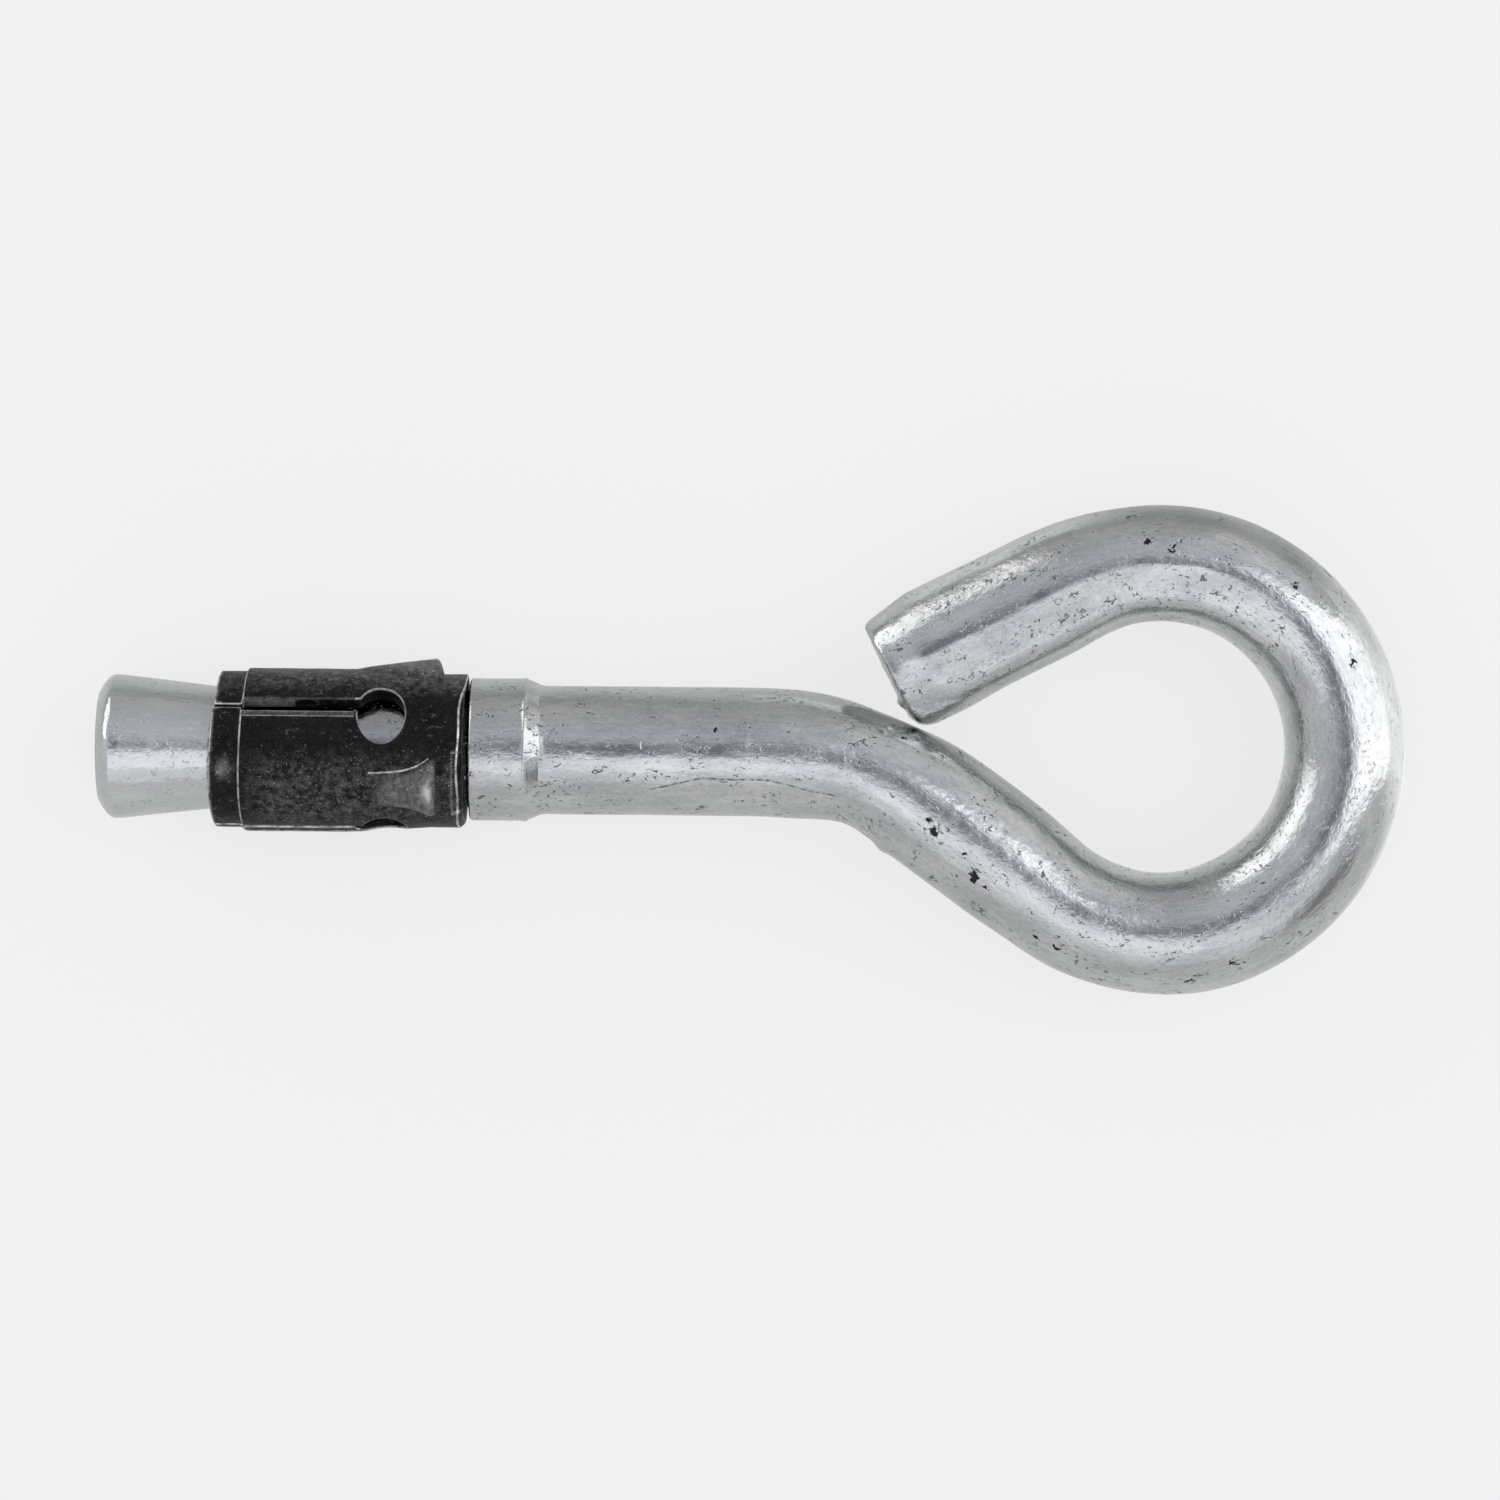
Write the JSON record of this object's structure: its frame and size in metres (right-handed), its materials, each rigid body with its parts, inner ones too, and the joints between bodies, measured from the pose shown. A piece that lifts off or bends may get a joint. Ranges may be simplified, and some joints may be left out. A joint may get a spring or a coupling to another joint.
{
  "type": "nail anchor with eye",
  "caption": "Zinc-plated steel nail anchor: coned tip, slotted black expansion clip on a neck, collar, plain shank and a rod end bent into a closed eye.",
  "frame": {"origin": "on the anchor's axis, at the middle of the land round its tip", "axes": "+X along the anchor from its tip to its eye, +Z square to the plane of the eye and up as it lies, +Y in the plane of the eye"},
  "size_m": [0.054, 0.0202, 0.0069],
  "materials": {
    "zinc_steel": "zinc plated, satin with drawing streaks",
    "black_sheet": "black phosphated sheet, worn bright at its cut edges"
  },
  "bodies": {
    "bolt": {"eye_bolt": "zinc_steel"},
    "clip": {"expansion_clip": "black_sheet"}
  },
  "joints": [
    {"name": "clip_turn", "type": "hinge", "parent": "bolt", "child": "clip", "pos_m": [0.0093, 0, 0], "axis": [1, 0, 0], "continuous": true}
  ]
}
